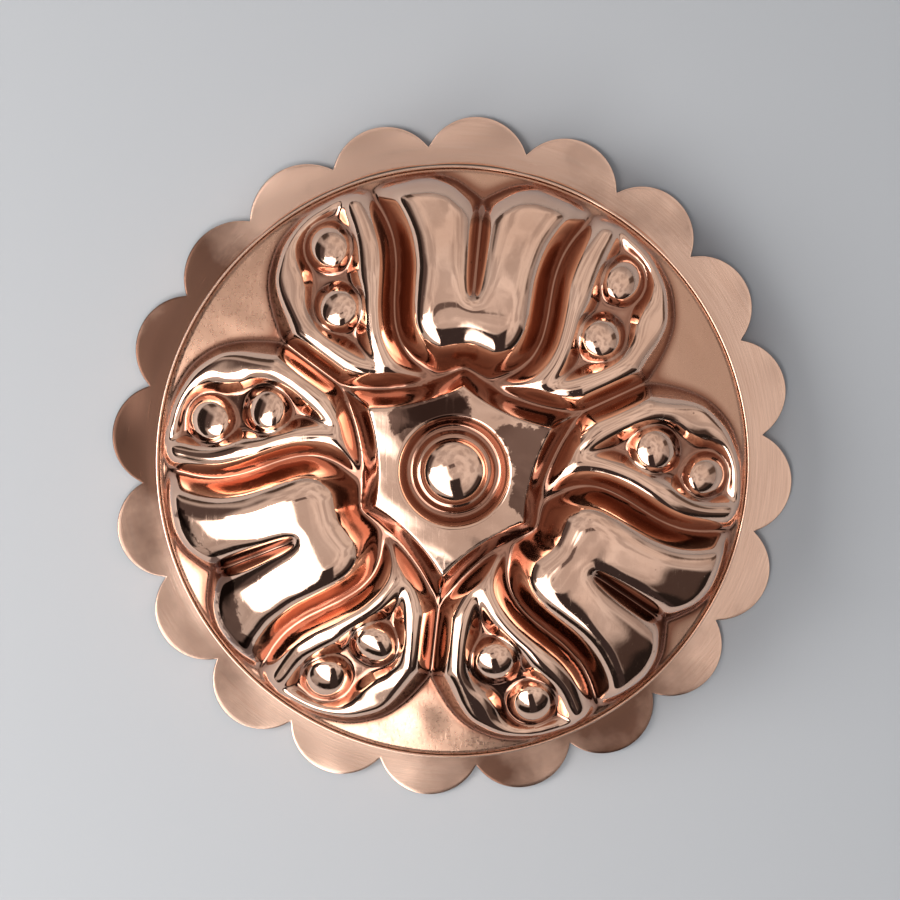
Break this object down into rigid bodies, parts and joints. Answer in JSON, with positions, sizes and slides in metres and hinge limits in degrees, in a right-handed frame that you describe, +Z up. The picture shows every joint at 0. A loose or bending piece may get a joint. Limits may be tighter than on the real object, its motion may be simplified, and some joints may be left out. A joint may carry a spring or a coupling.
{
  "type": "copper mould",
  "caption": "Round copper mould with a flat scalloped rim, a straight side and a domed crown embossed with tulips round a star.",
  "frame": {"origin": "centre of the underside, in the plane that the mould rests on, on the axis of the round side", "axes": "+Z up through the crown, +X to the right and +Y to the top as the picture shows the mould from above"},
  "size_m": [0.2392, 0.2392, 0.0629],
  "materials": {
    "copper_crown": "polished copper, worn satin on the plain dome",
    "copper_band": "planished and polished copper",
    "copper_rim": "brushed satin copper",
    "solder": "dull tin solder"
  },
  "bodies": {
    "root": {"embossed_crown": "copper_crown", "side_band": "copper_band", "scalloped_rim": "copper_rim", "crown_solder": "solder", "rim_solder": "solder"}
  },
  "joints": []
}
